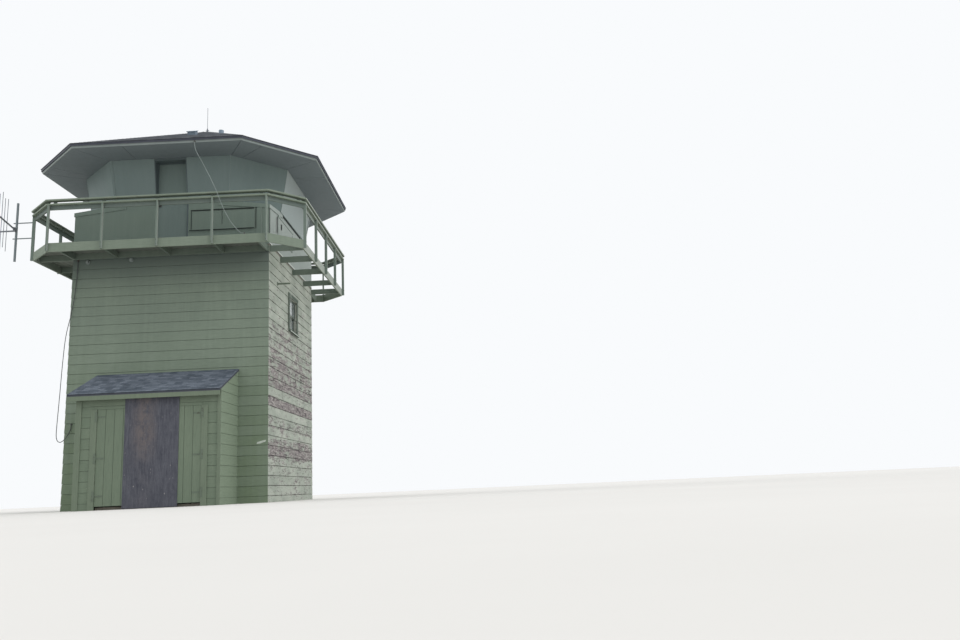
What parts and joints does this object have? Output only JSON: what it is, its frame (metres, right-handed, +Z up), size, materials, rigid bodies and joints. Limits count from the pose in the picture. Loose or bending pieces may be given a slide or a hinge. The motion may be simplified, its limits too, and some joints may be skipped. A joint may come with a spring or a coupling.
{
  "type": "fire lookout tower",
  "caption": "Square clad lookout tower with a leaning eight-sided cab, a railed catwalk, a hip roof and a lean-to store.",
  "frame": {"origin": "middle of the square shaft on the ground, at the underside of the ground floor", "axes": "+Z up, the front with the lean-to store faces -Y, +X to the right of someone who looks at the front"},
  "size_m": [7.8335, 7.4958, 11.1634],
  "materials": {
    "aluminium": "dull",
    "bare_plywood": "dark weathered plywood",
    "dark_cable": "black sheath",
    "deck_boards": "weathered boards",
    "floor_boards": "plain boards",
    "frame_timber": "dark green painted framing",
    "glass": "clear",
    "green_panel": "grey-green paint on plywood",
    "green_siding": "grey-green weathered paint on lap boards",
    "green_trim": "light green painted trim and rails",
    "pale_wire": "white sheath",
    "shingles": "blue-grey asphalt shingles",
    "soffit_board": "grey painted boards",
    "steel": "dull grey metal",
    "vent_metal": "dull galvanised metal",
    "window_wood": "dark painted wood",
    "worn_siding": "pale green paint peeled to grey boards"
  },
  "bodies": {
    "root": {"antenna_mast": "steel", "antenna_yagi": "aluminium", "back_wall": "green_siding", "cab_door": "green_panel", "cab_door_frame": "green_trim", "cab_floor": "floor_boards", "cab_sill": "green_trim", "cab_walls": "green_panel", "cord_clips": "steel", "corner_shelves": "green_trim", "deck": "deck_boards", "door_sheet": "bare_plywood", "fascia": "green_trim", "front_wall": "green_siding", "ground_floor": "floor_boards", "hanging_cable": "dark_cable", "hanging_wire": "pale_wire", "joists": "frame_timber", "knee_panels": "green_panel", "knee_trim": "green_trim", "knee_walls": "green_panel", "ledgers": "frame_timber", "left_wall": "green_siding", "rail_blocks": "green_trim", "rail_boards": "green_trim", "rail_cap": "green_trim", "rail_plates": "green_trim", "rail_posts": "green_trim", "right_wall": "worn_siding", "rim_boards": "green_trim", "roof_peak": "shingles", "roof_slopes": "shingles", "roof_vent": "vent_metal", "soffit": "soffit_board", "store_door_left": "green_siding", "store_door_right": "green_siding", "store_fascia": "green_trim", "store_floor": "floor_boards", "store_front_wall": "green_siding", "store_hinges": "steel", "store_roof": "shingles", "store_side_walls": "green_siding", "store_trim": "green_trim", "vent_pipe": "vent_metal", "wall_stub": "steel", "whip_antenna": "aluminium", "window_casing": "green_trim", "window_glass": "glass", "window_sashes": "window_wood"}
  },
  "joints": []
}
